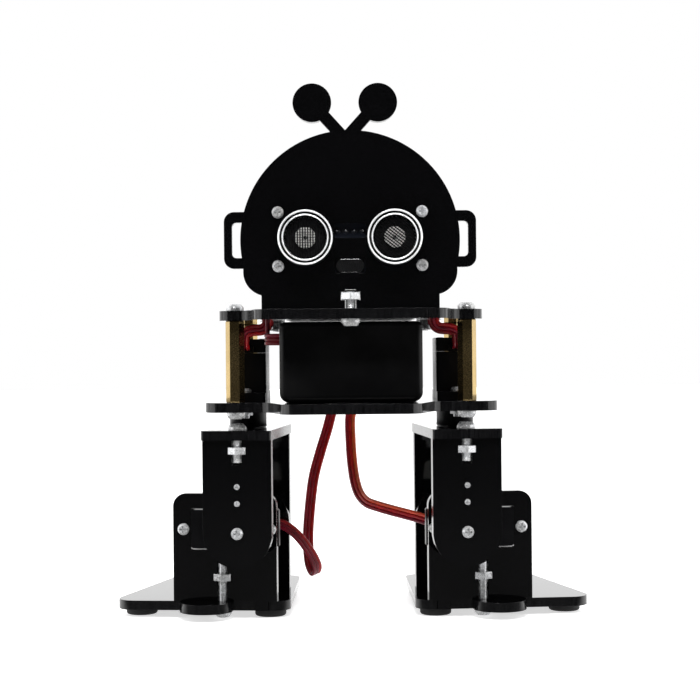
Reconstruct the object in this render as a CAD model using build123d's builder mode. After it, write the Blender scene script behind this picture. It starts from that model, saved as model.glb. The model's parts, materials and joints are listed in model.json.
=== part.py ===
from build123d import *
from math import cos, radians, sin
import os

# Two-legged walking robot kit of laser-cut 3 mm acrylic sheet, driven by four micro servos.
# Origin: on the ground, midway between the two vertical hip axes.
# +X is the viewer's right when the robot is faced, +Y points to its back, +Z is up. Millimetres.
# The leg and foot at X < 0 are drawn; the other side is their mirror image.

# ---- driving dimensions ----
SHEET = 3.0
FIT = 0.1
HIP_X = 33.2
TOE_OUT = 6.0
PAD_H = 2.5
PAD_R = 5.0
ANKLE_Z = 28.3
LEG_PLATE_Z = 57.1
BASE_Z = 65.8
STANDOFF_LEN = 25.0
DECK_Z = BASE_Z + SHEET + STANDOFF_LEN
REAR_Y = 53.0
HEAD_BACK_Y = -41.0

# micro servo, measured from the mounting face of its ears along its shaft
SERVO_L = 22.8
SERVO_W = 12.2
SERVO_EARS_L = 32.2
SERVO_EAR_T = 2.5
SERVO_DEPTH = 19.5
SERVO_NOSE = 3.2
SERVO_COVER = 4.4
SERVO_NEAR_END = 5.9
SERVO_MIDDLE = SERVO_L / 2 - SERVO_NEAR_END
SERVO_HOLE_PITCH = 27.8
BOSS_R = 5.9
BOSS_TOP = 8.4
SPLINE_TOP = 11.9
SPLINE_R = 2.5
RUNNING = 0.05

# servo horn: flat arm with a hub that takes the spline
HORN_T = 1.4
HORN_H = 3.9
HORN_FLOOR = 0.5
HORN_HUB_R = 3.5

# fasteners
M3_R = 1.45
M3_HOLE_R = 1.6
M3_HEAD_R = 2.75
M3_HEAD_H = 2.1
M3_NUT_AF = 5.5
M3_NUT_H = 2.2
M2_R = 0.95
M2_HOLE_R = 1.1
M2_HEAD_R = 1.85
M2_HEAD_H = 1.4
M2_NUT_AF = 4.0
M2_NUT_H = 1.6
THREAD_GAP = 0.05
CROWN_TAPER = 38

# derived levels
FOOT_TOP = PAD_H + SHEET
LEG_TOP = LEG_PLATE_Z + SHEET
BASE_TOP = BASE_Z + SHEET
DECK_TOP = DECK_Z + SHEET

# front-to-back places of the upright sheets, back face of each, in the leg's own axes
FRONT_SHIN_Y = -19.0
REAR_SHIN_Y = 20.0
FRONT_BRACKET_Y = -6.5
REAR_BRACKET_Y = 16.6
SHIN_W = 21.5

os.makedirs("parts", exist_ok=True)
right_side = {}

angle = radians(TOE_OUT)
LEG = Plane(origin=(-HIP_X, 0, 0), x_dir=(cos(angle), -sin(angle), 0), z_dir=(0, 0, 1))


def keep(piece, name):
    """Labels a finished piece and writes its STEP file."""
    piece.part.label = name
    export_step(piece.part, f"parts/{name}.step")


def keep_pair(piece, name):
    """Keeps a piece of the right side now and remembers it for the mirrored left side."""
    keep(piece, f"right_{name}")
    right_side[name] = piece.part


def front(y):
    """Plane facing the viewer at depth y: its own axes are X and Z."""
    return Plane(origin=(0, y, 0), x_dir=(1, 0, 0), z_dir=(0, -1, 0))


def leg_level(z):
    return LEG.offset(z)


def leg_front(y, x=0.0, z=0.0):
    """Plane facing the front of the toed-out leg, at the leg's own x, y, z."""
    return Plane(
        origin=LEG.from_local_coords(Vector(x, y, z)), x_dir=LEG.x_dir, z_dir=-LEG.y_dir
    )


def leg_axis_plane(x, y, z, down=False):
    """Level plane at a point of the leg, facing up, or down for a screw put in from below."""
    direction = (0, 0, -1) if down else (0, 0, 1)
    return Plane(
        origin=LEG.from_local_coords(Vector(x, y, z)), x_dir=LEG.x_dir, z_dir=direction
    )


def axis_plane(x, y, z, down=False):
    direction = (0, 0, -1) if down else (0, 0, 1)
    return Plane(origin=(x, y, z), x_dir=(1, 0, 0), z_dir=direction)


def raise_from(profile, height, mode=Mode.ADD):
    """Extrudes a finished profile into the piece being built, or out of it."""
    extrude(profile.sketch, amount=height, mode=mode)


def add_screw(plane, length, shank_r, head_r, head_h):
    """Pan-head screw with a cross recess; the plane lies under the head and faces out of it."""
    with BuildSketch(plane) as head:
        Circle(head_r)
    with BuildSketch(plane.offset(head_h / 2)) as crown:
        Circle(head_r)
    with BuildSketch(plane) as shank:
        Circle(shank_r)
    with BuildSketch(plane.offset(head_h)) as recess:
        Rectangle(head_r * 1.2, head_r * 0.3)
        Rectangle(head_r * 0.3, head_r * 1.2)
    raise_from(head, head_h / 2)
    extrude(crown.sketch, amount=head_h / 2, taper=CROWN_TAPER)
    raise_from(shank, -length)
    raise_from(recess, -head_h * 0.5, Mode.SUBTRACT)


def add_m3(plane, length):
    add_screw(plane, length, M3_R, M3_HEAD_R, M3_HEAD_H)


def add_m2(plane, length):
    add_screw(plane, length, M2_R, M2_HEAD_R, M2_HEAD_H)


def add_nut(plane, af, height, bore_r):
    """Hex nut standing on the plane, flats facing the plane's x axis."""
    with BuildSketch(plane) as hexagon:
        RegularPolygon(radius=af / 2, side_count=6, major_radius=False, rotation=30)
        Circle(bore_r, mode=Mode.SUBTRACT)
    raise_from(hexagon, height)


def add_m3_nut(plane):
    add_nut(plane, M3_NUT_AF, M3_NUT_H, M3_R + THREAD_GAP)


def add_m2_nut(plane):
    add_nut(plane, M2_NUT_AF, M2_NUT_H, M2_R + THREAD_GAP)


def tee_slot(x, edge, nut_z, end):
    """Cuts a screw slot from a sheet's edge and the cross slot that holds its nut."""
    with Locations((x, (edge + end) / 2)):
        Rectangle(2 * M3_HOLE_R, abs(end - edge), mode=Mode.SUBTRACT)
    with Locations((x, nut_z)):
        Rectangle(M3_NUT_AF + 2 * FIT, M3_NUT_H + 2 * FIT, mode=Mode.SUBTRACT)


def add_servo_case(plane):
    """Servo case, ears and output boss; x_dir runs from the shaft towards the far end."""
    with BuildSketch(plane.offset(-SERVO_DEPTH + SERVO_COVER)) as case:
        with Locations((SERVO_MIDDLE, 0)):
            RectangleRounded(SERVO_L, SERVO_W, 0.8)
    with BuildSketch(plane.offset(-SERVO_EAR_T)) as ears:
        with Locations((SERVO_MIDDLE, 0)):
            RectangleRounded(SERVO_EARS_L, SERVO_W, 0.8)
            with GridLocations(SERVO_HOLE_PITCH, 1, 2, 1):
                Circle(M2_HOLE_R, mode=Mode.SUBTRACT)
    with BuildSketch(plane.offset(SERVO_NOSE)) as boss:
        Circle(BOSS_R)
        with Locations((BOSS_R + 0.5, 0)):
            Circle(2.9)
    with BuildSketch(plane.offset(BOSS_TOP)) as bearing:
        Circle(SPLINE_R + RUNNING)
    raise_from(case, SERVO_DEPTH - SERVO_COVER + SERVO_NOSE)
    raise_from(ears, SERVO_EAR_T)
    raise_from(boss, BOSS_TOP - SERVO_NOSE)
    raise_from(bearing, -3.0, Mode.SUBTRACT)


def add_servo_cover(plane):
    """Bottom cover of the servo, with the relief that its lead leaves through."""
    with BuildSketch(plane.offset(-SERVO_DEPTH)) as cover:
        with Locations((SERVO_MIDDLE, 0)):
            RectangleRounded(SERVO_L, SERVO_W, 0.8)
    with BuildSketch(plane.offset(-SERVO_DEPTH + 2.2)) as relief:
        with Locations((-SERVO_NEAR_END - 0.6, 0)):
            Rectangle(1.4, 4.6)
    raise_from(cover, SERVO_COVER - 0.05)
    raise_from(relief, 2.0)


def add_spline(plane):
    """Output shaft: a journal that runs in the boss and the toothed end above it."""
    with BuildSketch(plane.offset(BOSS_TOP - 2.5)) as journal:
        Circle(SPLINE_R)
        Circle(M2_R + THREAD_GAP, mode=Mode.SUBTRACT)
    with BuildSketch(plane.offset(BOSS_TOP + 0.1)) as teeth:
        Circle(SPLINE_R - RUNNING)
        with PolarLocations(SPLINE_R - RUNNING, 20):
            Circle(0.12, mode=Mode.SUBTRACT)
        Circle(M2_R + THREAD_GAP, mode=Mode.SUBTRACT)
    raise_from(journal, 2.6)
    raise_from(teeth, SPLINE_TOP - BOSS_TOP - 0.1)


def add_horn(plane, reach, back_reach, hole_steps):
    """Servo horn; the plane is the arm's outer face, z towards the servo, x along the arm."""
    with BuildSketch(plane) as arm:
        with BuildLine():
            Polyline(
                (-back_reach, -2.0), (-back_reach, 2.0), (0, HORN_HUB_R),
                (reach, 2.0), (reach, -2.0), (0, -HORN_HUB_R), close=True,
            )
        make_face()
        Circle(HORN_HUB_R)
        with Locations((reach, 0), (-back_reach, 0)):
            Circle(2.0)
        with Locations(*[(step, 0) for step in hole_steps]):
            Circle(0.75, mode=Mode.SUBTRACT)
    with BuildSketch(plane) as hub:
        Circle(HORN_HUB_R)
    with BuildSketch(plane.offset(HORN_H)) as socket:
        Circle(SPLINE_R)
    with BuildSketch(plane.offset(HORN_H)) as screw_hole:
        Circle(M2_HOLE_R)
    raise_from(arm, HORN_T)
    raise_from(hub, HORN_H)
    raise_from(socket, -(HORN_H - HORN_FLOOR), Mode.SUBTRACT)
    raise_from(screw_hole, -HORN_H, Mode.SUBTRACT)


def add_lead(points, radius, bend=2.5):
    """Cable: a round bar along straight runs joined by bends."""
    with BuildLine() as path:
        FilletPolyline(*points, radius=bend)
    run = path.wire()
    with BuildSketch(Plane(origin=run @ 0, z_dir=run % 0)) as profile:
        Circle(radius)
    sweep(profile.sketch, path=run)


# ================= body: the two decks =================

STANDOFF_X = 35.6
standoff_places = [(x, y) for x in (-STANDOFF_X, STANDOFF_X) for y in (-23.0, 47.0)]
BOARD_HOLE_X = 25.7
BOARD_HOLE_Y = (19.0, 45.0)
board_holes = [(x, y) for x in (-BOARD_HOLE_X, BOARD_HOLE_X) for y in BOARD_HOLE_Y]
BOTTOM_HALF_W = 44.8
TOP_HALF_W = 40.2

with BuildPart() as bottom_plate:
    with BuildSketch(Plane.XY.offset(BASE_Z)):
        with BuildLine():
            Polyline(
                (-BOTTOM_HALF_W, -28), (-25, -28), (-20, -48), (20, -48), (25, -28),
                (BOTTOM_HALF_W, -28), (BOTTOM_HALF_W, REAR_Y), (-BOTTOM_HALF_W, REAR_Y), close=True,
            )
        make_face()
        fillet(vertices(), radius=5.5)
        with Locations(*standoff_places):
            Circle(M3_HOLE_R, mode=Mode.SUBTRACT)
        with Locations((-HIP_X, SERVO_MIDDLE), (HIP_X, SERVO_MIDDLE)):
            Rectangle(SERVO_W + 2 * FIT, SERVO_L + 2 * FIT, mode=Mode.SUBTRACT)
            with GridLocations(1, SERVO_HOLE_PITCH, 1, 2):
                Circle(M2_HOLE_R, mode=Mode.SUBTRACT)
        with Locations((0, 48.5)):
            SlotOverall(22, 5.0, mode=Mode.SUBTRACT)
        with Locations((0, -41)):
            SlotOverall(16, 3.2, mode=Mode.SUBTRACT)
    extrude(amount=SHEET)
keep(bottom_plate, "bottom_plate")

# slots beside the battery that bring the leads up behind the head
LEAD_SLOT_X = 25.9
LEAD_SLOT_Y = -13.5
HEAD_TAB_X = 18.0
HEAD_TAB_W = 6.0
with BuildPart() as top_plate:
    with BuildSketch(Plane.XY.offset(DECK_Z)):
        with BuildLine():
            Polyline(
                (-TOP_HALF_W, -29), (-31, -29), (-28, -46.5), (28, -46.5), (31, -29),
                (TOP_HALF_W, -29), (TOP_HALF_W, REAR_Y), (-TOP_HALF_W, REAR_Y), close=True,
            )
        make_face()
        fillet(vertices(), radius=4.5)
        with Locations(*standoff_places, *board_holes, (0, HEAD_BACK_Y - SHEET / 2)):
            Circle(M3_HOLE_R, mode=Mode.SUBTRACT)
        with Locations((-HEAD_TAB_X, HEAD_BACK_Y - SHEET / 2), (HEAD_TAB_X, HEAD_BACK_Y - SHEET / 2)):
            Rectangle(HEAD_TAB_W + 2 * FIT, SHEET + 2 * FIT, mode=Mode.SUBTRACT)
        with Locations((-LEAD_SLOT_X, LEAD_SLOT_Y), (LEAD_SLOT_X, LEAD_SLOT_Y)):
            SlotOverall(12.0, 5.0, rotation=90, mode=Mode.SUBTRACT)
    extrude(amount=SHEET)
keep(top_plate, "top_plate")

with BuildPart() as standoffs:
    with BuildSketch(Plane.XY.offset(BASE_TOP)):
        with Locations(*standoff_places):
            RegularPolygon(radius=2.5, side_count=6, major_radius=False)
            Circle(M3_R + THREAD_GAP, mode=Mode.SUBTRACT)
    extrude(amount=STANDOFF_LEN)
keep(standoffs, "standoffs")

# ================= body: head and distance sensor =================

HEAD_Z = 117.0
HEAD_R = 32.3
NECK_W = 52.4
CHEEK_W = 63.0
CHEEK_TOP = 110.0
CHEEK_LOW = 100.7
CHEEK_R = 7.0
ANTENNA_X = -1.2
EYE_X = 13.0
EYE_Z = 117.3
CAN_R = 8.0
CAN_FRONT_Y = -53.0
SONAR_T = 1.6
SONAR_SCREW_X = 21.2
SONAR_SCREW_Z = 7.9
HEADER_Z = 119.8
CRYSTAL_Z = 109.4
BALL_X = 9.7
BALL_Z = 157.4
BALL_R = 5.7
STEM_W = 3.6
HEAD_NUT_Z = 100.5
HEAD_SLOT_END = 102.4

sonar_holes = [
    (x, EYE_Z + z) for x in (-SONAR_SCREW_X, SONAR_SCREW_X) for z in (-SONAR_SCREW_Z, SONAR_SCREW_Z)
]

# the face: a disc down to the cheeks, then cheeks whose lower corners round in to the neck
with BuildSketch(front(HEAD_BACK_Y)) as face_outline:
    with Locations((0, HEAD_Z)):
        Circle(HEAD_R)
    with Locations((0, CHEEK_TOP - HEAD_R)):
        Rectangle(3 * HEAD_R, 2 * HEAD_R, mode=Mode.SUBTRACT)
    with Locations((0, (CHEEK_LOW + HEAD_Z) / 2)):
        RectangleRounded(CHEEK_W, HEAD_Z - CHEEK_LOW, CHEEK_R)

with BuildPart() as head_plate:
    with BuildSketch(front(HEAD_BACK_Y)):
        for side in (-1, 1):
            with Locations((side * 32.0, HEAD_Z + 0.1)):
                RectangleRounded(10.2, 16.7, 3.0)
            with Locations((side * 32.35, HEAD_Z + 0.1)):
                RectangleRounded(4.7, 10.4, 1.3, mode=Mode.SUBTRACT)
            with Locations((ANTENNA_X + side * (BALL_X - 4.1), BALL_Z - 4.6)):
                Rectangle(STEM_W, 14.0, rotation=-side * 42)
            with Locations((ANTENNA_X + side * BALL_X, BALL_Z)):
                Circle(BALL_R)
        add(face_outline.sketch_local)
        with Locations((0, (DECK_TOP + HEAD_Z) / 2)):
            Rectangle(NECK_W, HEAD_Z - DECK_TOP)
        with Locations((0, DECK_TOP - HEAD_R / 2)):
            Rectangle(3 * HEAD_R, HEAD_R, mode=Mode.SUBTRACT)
        with Locations((-HEAD_TAB_X, DECK_TOP - SHEET / 2), (HEAD_TAB_X, DECK_TOP - SHEET / 2)):
            Rectangle(HEAD_TAB_W, SHEET)
        with Locations((-EYE_X, EYE_Z), (EYE_X, EYE_Z)):
            Circle(CAN_R + 0.2, mode=Mode.SUBTRACT)
        with Locations(*sonar_holes):
            Circle(M2_HOLE_R, mode=Mode.SUBTRACT)
        with Locations((0, CRYSTAL_Z)):
            RectangleRounded(8.8, 4.4, 0.6, mode=Mode.SUBTRACT)
        with Locations((0, HEADER_Z)):
            RectangleRounded(9.2, 4.4, 0.6, mode=Mode.SUBTRACT)
        tee_slot(0, DECK_TOP, HEAD_NUT_Z, HEAD_SLOT_END)
    extrude(amount=SHEET)
keep(head_plate, "head_plate")

with BuildPart() as sonar_board:
    with BuildSketch(front(HEAD_BACK_Y + SONAR_T)):
        with Locations((0, EYE_Z)):
            Rectangle(45, 20)
        with Locations(*sonar_holes):
            Circle(0.9, mode=Mode.SUBTRACT)
        with Locations((0, HEADER_Z)):
            with GridLocations(2.54, 1, 4, 1):
                Circle(0.5, mode=Mode.SUBTRACT)
    extrude(amount=SONAR_T)
keep(sonar_board, "sonar_board")

with BuildPart() as sonar_cans:
    with BuildSketch(front(HEAD_BACK_Y)):
        with Locations((-EYE_X, EYE_Z), (EYE_X, EYE_Z)):
            Circle(CAN_R)
    extrude(amount=HEAD_BACK_Y - CAN_FRONT_Y)
    fillet(faces().sort_by(Axis.Y)[:2].edges(), radius=0.7)
    with BuildSketch(front(CAN_FRONT_Y)):
        with Locations((-EYE_X, EYE_Z), (EYE_X, EYE_Z)):
            Circle(6.25)
    extrude(amount=-4.5, mode=Mode.SUBTRACT)
keep(sonar_cans, "sonar_cans")

with BuildPart() as sonar_meshes:
    with BuildSketch(front(CAN_FRONT_Y + 1.6)):
        with Locations((-EYE_X, EYE_Z), (EYE_X, EYE_Z)):
            Circle(6.2)
            with HexLocations(1.5, 4, 4):
                RegularPolygon(radius=1.1, side_count=6, mode=Mode.SUBTRACT)
    extrude(amount=0.4)
keep(sonar_meshes, "sonar_meshes")

with BuildPart() as sonar_crystal:
    with BuildSketch(front(HEAD_BACK_Y)):
        with Locations((0, CRYSTAL_Z)):
            SlotOverall(8.2, 3.8)
    extrude(amount=3.4)
keep(sonar_crystal, "sonar_crystal")

with BuildPart() as sonar_screws:
    for x, z in sonar_holes:
        seat = Plane(origin=(x, HEAD_BACK_Y - SHEET, z), x_dir=(1, 0, 0), z_dir=(0, -1, 0))
        add_screw(seat, 7.0, 0.85, 1.75, 1.2)
    for x, z in sonar_holes:
        back = Plane(origin=(x, HEAD_BACK_Y + SONAR_T, z), x_dir=(1, 0, 0), z_dir=(0, 1, 0))
        add_nut(back, 3.2, 1.3, 0.9)
keep(sonar_screws, "sonar_screws")

# ================= body: battery =================

CASE_HALF_W = 21.65
CASE_FRONT_Y = -33.0
CASE_REAR_Y = 44.0
CASE_TOP_Z = 93.2
CASE_WALL = 1.6
LID_T = 1.8
case_mid_y = (CASE_FRONT_Y + CASE_REAR_Y) / 2
case_len = CASE_REAR_Y - CASE_FRONT_Y
CELL_R = 9.1
CELL_LEN = 65.0
CELL_X = 9.8
CELL_Z = BASE_TOP + CASE_WALL + CELL_R + 0.3

CASE_LEAD_Y = -26.0
CASE_LEAD_Z = 88.0
CASE_LEAD_HOLE_R = 1.4
case_side = Plane(origin=(-CASE_HALF_W, CASE_LEAD_Y, CASE_LEAD_Z), x_dir=(0, -1, 0), z_dir=(-1, 0, 0))

with BuildPart() as battery_case:
    with BuildSketch(front(CASE_REAR_Y)):
        with Locations((0, (BASE_TOP + CASE_TOP_Z - LID_T) / 2)):
            Rectangle(2 * CASE_HALF_W, CASE_TOP_Z - LID_T - BASE_TOP)
    extrude(amount=case_len)
    fillet(edges().filter_by(Axis.Y).group_by(Axis.Z)[0], radius=3.0)
    fillet(edges().filter_by(Axis.Z), radius=2.0)
    with BuildSketch(Plane.XY.offset(BASE_TOP + CASE_WALL)):
        with Locations((0, case_mid_y)):
            RectangleRounded(2 * (CASE_HALF_W - CASE_WALL), case_len - 2 * CASE_WALL, 1.5)
    extrude(amount=CASE_TOP_Z, mode=Mode.SUBTRACT)
    with BuildSketch(case_side):
        Circle(CASE_LEAD_HOLE_R)
    extrude(amount=-CASE_WALL, mode=Mode.SUBTRACT)
keep(battery_case, "battery_case")

with BuildPart() as battery_lid:
    with BuildSketch(Plane.XY.offset(CASE_TOP_Z - LID_T)):
        with Locations((0, case_mid_y)):
            RectangleRounded(2 * CASE_HALF_W, case_len, 2.0)
    extrude(amount=LID_T)
    with BuildSketch(Plane.XY.offset(CASE_TOP_Z - LID_T)):
        with Locations((0, case_mid_y)):
            inner_w = 2 * (CASE_HALF_W - CASE_WALL - 0.15)
            RectangleRounded(inner_w, case_len - 2 * CASE_WALL - 0.3, 1.3)
            RectangleRounded(inner_w - 2.4, case_len - 2 * CASE_WALL - 2.7, 1.0, mode=Mode.SUBTRACT)
    extrude(amount=-0.9)
    fillet(faces().sort_by(Axis.Z)[-1].edges(), radius=1.7)
keep(battery_lid, "battery_lid")

with BuildPart() as battery_cells:
    with BuildSketch(front(case_mid_y + CELL_LEN / 2)):
        with Locations((-CELL_X, CELL_Z), (CELL_X, CELL_Z)):
            Circle(CELL_R)
    extrude(amount=CELL_LEN)
    fillet(edges(), radius=0.8)
keep(battery_cells, "battery_cells")

with BuildPart() as battery_contacts:
    for end in (-1, 1):
        face_y = case_mid_y + end * (CELL_LEN / 2 + 3.0)
        for x in (-CELL_X, CELL_X):
            with BuildSketch(front(face_y)):
                with Locations((x, CELL_Z)):
                    Rectangle(13, 14)
            extrude(amount=0.4)
    for x, end in ((-CELL_X, -1), (CELL_X, 1)):
        coil_y = case_mid_y + end * (CELL_LEN / 2 + 1.5)
        with BuildSketch(front(coil_y + 1.05)):
            with Locations((x, CELL_Z)):
                Circle(4.5)
                Circle(2.6, mode=Mode.SUBTRACT)
        extrude(amount=2.1)
keep(battery_contacts, "battery_contacts")

# ================= body: hip servos =================


def hip_servo_plane(side):
    return Plane(origin=(side * HIP_X, 0, BASE_TOP), x_dir=(0, 1, 0), z_dir=(0, 0, -1))


with BuildPart() as hip_servo_cases:
    for side in (-1, 1):
        add_servo_case(hip_servo_plane(side))
keep(hip_servo_cases, "hip_servo_cases")

with BuildPart() as hip_servo_covers:
    for side in (-1, 1):
        add_servo_cover(hip_servo_plane(side))
keep(hip_servo_covers, "hip_servo_covers")

with BuildPart() as hip_servo_screws:
    for side in (-1, 1):
        for end in (-1, 1):
            y = SERVO_MIDDLE + end * SERVO_HOLE_PITCH / 2
            add_m2(axis_plane(side * HIP_X, y, BASE_TOP + SERVO_EAR_T), 8)
            add_m2_nut(axis_plane(side * HIP_X, y, BASE_Z, down=True))
keep(hip_servo_screws, "hip_servo_screws")

# ================= body: control electronics =================

BOARD_W = 59.0
BOARD_Y = (14.0, 50.0)
BOARD_Z = DECK_TOP + 6.0
BOARD_T = 1.6
board_mid_y = sum(BOARD_Y) / 2
board_top = BOARD_Z + BOARD_T
MODULE_Y = 34.0
MODULE_Z = board_top + 8.5
MODULE_L = 43.5
MODULE_W = 18.0
MODULE_T = 1.6
module_top = MODULE_Z + MODULE_T

with BuildPart() as board_standoffs:
    for x, y in board_holes:
        with BuildSketch(Plane.XY.offset(DECK_TOP)):
            with Locations((x, y)):
                RegularPolygon(radius=2.5, side_count=6, major_radius=False)
                Circle(M3_R + THREAD_GAP, mode=Mode.SUBTRACT)
        extrude(amount=BOARD_Z - DECK_TOP)
keep(board_standoffs, "board_standoffs")

with BuildPart() as control_board:
    with BuildSketch(Plane.XY.offset(BOARD_Z)):
        with Locations((0, board_mid_y)):
            RectangleRounded(BOARD_W, BOARD_Y[1] - BOARD_Y[0], 1.5)
        with Locations(*board_holes):
            Circle(M3_HOLE_R, mode=Mode.SUBTRACT)
    extrude(amount=BOARD_T)
keep(control_board, "control_board")

module_rows = [MODULE_Y - 7.62, MODULE_Y + 7.62]
servo_header_x = (-14.0, -5.0, 5.0, 14.0)
SERVO_HEADER_Y = 17.0
with BuildPart() as pin_headers:
    for y in module_rows:
        with BuildSketch(Plane.XY.offset(board_top)):
            with Locations((0, y)):
                Rectangle(38.1, 2.5)
        extrude(amount=8.5)
    for x in servo_header_x:
        with BuildSketch(Plane.XY.offset(board_top)):
            with Locations((x, SERVO_HEADER_Y)):
                Rectangle(7.62, 2.5)
        extrude(amount=2.5)
        with BuildSketch(Plane.XY.offset(board_top + 2.5)):
            with Locations((x, SERVO_HEADER_Y)):
                with GridLocations(2.54, 1, 3, 1):
                    Rectangle(0.64, 0.64)
        extrude(amount=6.0)
    with BuildSketch(front(HEAD_BACK_Y + SONAR_T + 2.5)):
        with Locations((0, HEADER_Z)):
            Rectangle(10.16, 2.5)
    extrude(amount=2.5)
    with BuildSketch(front(HEAD_BACK_Y + SONAR_T + 8.0)):
        with Locations((0, HEADER_Z)):
            with GridLocations(2.54, 1, 4, 1):
                Rectangle(0.64, 0.64)
    extrude(amount=8.0 + SONAR_T + 1.0)
keep(pin_headers, "pin_headers")

with BuildPart() as controller_module:
    with BuildSketch(Plane.XY.offset(MODULE_Z)):
        with Locations((0, MODULE_Y)):
            RectangleRounded(MODULE_L, MODULE_W, 0.5)
    extrude(amount=MODULE_T)
    with BuildSketch(Plane.XY.offset(module_top)):
        with Locations((-4, MODULE_Y)):
            Rectangle(7, 7, rotation=45)
        with Locations((8, MODULE_Y)):
            Rectangle(3.2, 1.6)
    extrude(amount=1.0)
keep(controller_module, "controller_module")

usb_mouth = Plane(
    origin=(-MODULE_L / 2 - 1.1, MODULE_Y, module_top + 2.0), x_dir=(0, 1, 0), z_dir=(-1, 0, 0)
)
with BuildPart() as usb_socket:
    with BuildSketch(Plane.XY.offset(module_top + 0.02)):
        with Locations((-MODULE_L / 2 + 3.2, MODULE_Y)):
            Rectangle(8.6, 7.7)
    extrude(amount=3.9)
    with BuildSketch(usb_mouth):
        RectangleRounded(6.8, 3.0, 0.5)
    extrude(amount=-5.5, mode=Mode.SUBTRACT)
keep(usb_socket, "usb_socket")

# tactile button on the controller module: the cap travels down into its square base
BUTTON_X = 14.5
BUTTON_TRAVEL = 0.3
BUTTON_R = 1.2
with BuildPart() as button_base:
    with BuildSketch(Plane.XY.offset(module_top + 0.02)):
        with Locations((BUTTON_X, MODULE_Y)):
            Rectangle(4.2, 3.2)
            Circle(BUTTON_R + RUNNING, mode=Mode.SUBTRACT)
    extrude(amount=1.4)
with BuildPart() as reset_button:
    with BuildSketch(Plane.XY.offset(module_top + 0.02 + BUTTON_TRAVEL + 0.1)):
        with Locations((BUTTON_X, MODULE_Y)):
            Circle(BUTTON_R)
    extrude(amount=1.6)
keep(reset_button, "reset_button")

# slide switch on the board's right edge; the knob slides along Y in the housing's slot
SWITCH_X = 23.5
SWITCH_Y = 31.0
SWITCH_TRAVEL = 2.0
SWITCH_H = 3.6
with BuildPart() as switch_housing:
    with BuildSketch(Plane.XY.offset(board_top)):
        with Locations((SWITCH_X + 2.0, SWITCH_Y)):
            Rectangle(4.4, 8.7)
    extrude(amount=SWITCH_H)
    with BuildSketch(Plane.XY.offset(board_top + SWITCH_H)):
        with Locations((SWITCH_X + 2.0, SWITCH_Y)):
            Rectangle(1.9, 1.9 + SWITCH_TRAVEL + 0.2)
    extrude(amount=-1.6, mode=Mode.SUBTRACT)
    add(button_base.part)
keep(switch_housing, "switch_housing")

with BuildPart() as switch_knob:
    with BuildSketch(Plane.XY.offset(board_top + SWITCH_H - 1.5)):
        with Locations((SWITCH_X + 2.0, SWITCH_Y - SWITCH_TRAVEL / 2)):
            Rectangle(1.8, 1.9)
    extrude(amount=4.3)
keep(switch_knob, "switch_knob")

# ================= body: screws and nuts =================

with BuildPart() as frame_screws:
    for x, y in standoff_places:
        add_m3(axis_plane(x, y, DECK_TOP), 6 + SHEET)
        add_m3(axis_plane(x, y, BASE_Z, down=True), 6 + SHEET)
    for x, y in board_holes:
        add_m3(axis_plane(x, y, board_top), BOARD_T + BOARD_Z - DECK_Z + M3_NUT_H + 0.4)
    add_m3(axis_plane(0, HEAD_BACK_Y - SHEET / 2, DECK_Z, down=True), 8)
keep(frame_screws, "frame_screws")

with BuildPart() as frame_nuts:
    for x, y in board_holes:
        add_m3_nut(axis_plane(x, y, DECK_Z, down=True))
    add_m3_nut(axis_plane(0, HEAD_BACK_Y - SHEET / 2, HEAD_NUT_Z - M3_NUT_H / 2))
keep(frame_nuts, "frame_nuts")

# ================= cables =================

LEAD_R = 1.3
LEAD_Z = BASE_TOP + SERVO_DEPTH - 3.2
LEAD_TURN_Z = DECK_Z - 3.0
OVER_DECK_Z = DECK_TOP + 4.2
HIP_LEAD_X = HIP_X + 0.5
HIP_LEAD_Y = -11.0
HIP_PLUG_X = 14.0
plug_top = board_top + 8.7
with BuildPart() as hip_leads:
    for side in (-1, 1):
        out_x = side * HIP_LEAD_X
        slot_x = side * LEAD_SLOT_X
        plug_x = side * HIP_PLUG_X
        add_lead(
            [
                (out_x, -8.0, LEAD_Z), (out_x, HIP_LEAD_Y, LEAD_Z + 0.9), (out_x, HIP_LEAD_Y, LEAD_TURN_Z),
                (slot_x, HIP_LEAD_Y, LEAD_TURN_Z), (slot_x, HIP_LEAD_Y, OVER_DECK_Z),
                (plug_x, 0, DECK_TOP + 14), (plug_x, SERVO_HEADER_Y, DECK_TOP + 20),
                (plug_x, SERVO_HEADER_Y, plug_top),
            ],
            LEAD_R, 2.0,
        )
keep(hip_leads, "hip_leads")

POWER_LEAD_R = 1.0
POWER_RISE_Y = -16.5
POWER_END_X = -20.4
POWER_DECK_Z = DECK_TOP + 2.8
power_end_z = board_top + 2.6
with BuildPart() as battery_lead:
    add_lead(
        [
            (-CASE_HALF_W - 0.1, CASE_LEAD_Y, CASE_LEAD_Z), (-LEAD_SLOT_X, CASE_LEAD_Y, CASE_LEAD_Z),
            (-LEAD_SLOT_X, POWER_RISE_Y, CASE_LEAD_Z), (-LEAD_SLOT_X, POWER_RISE_Y, POWER_DECK_Z),
            (POWER_END_X, -12.5, POWER_DECK_Z), (POWER_END_X, 4.0, POWER_DECK_Z),
            (POWER_END_X, 9.0, power_end_z), (POWER_END_X, 14.6, power_end_z),
        ],
        POWER_LEAD_R, 1.5,
    )
keep(battery_lead, "battery_lead")

SONAR_LEAD_R = 1.6
with BuildPart() as sonar_lead:
    plug_y = HEAD_BACK_Y + SONAR_T + 8.2
    add_lead(
        [
            (0, plug_y, HEADER_Z), (0, plug_y + 10, HEADER_Z),
            (0, 2.0, DECK_TOP + 10), (0, 12.0, board_top + 2),
        ],
        SONAR_LEAD_R, 4.0,
    )
keep(sonar_lead, "sonar_lead")

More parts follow.
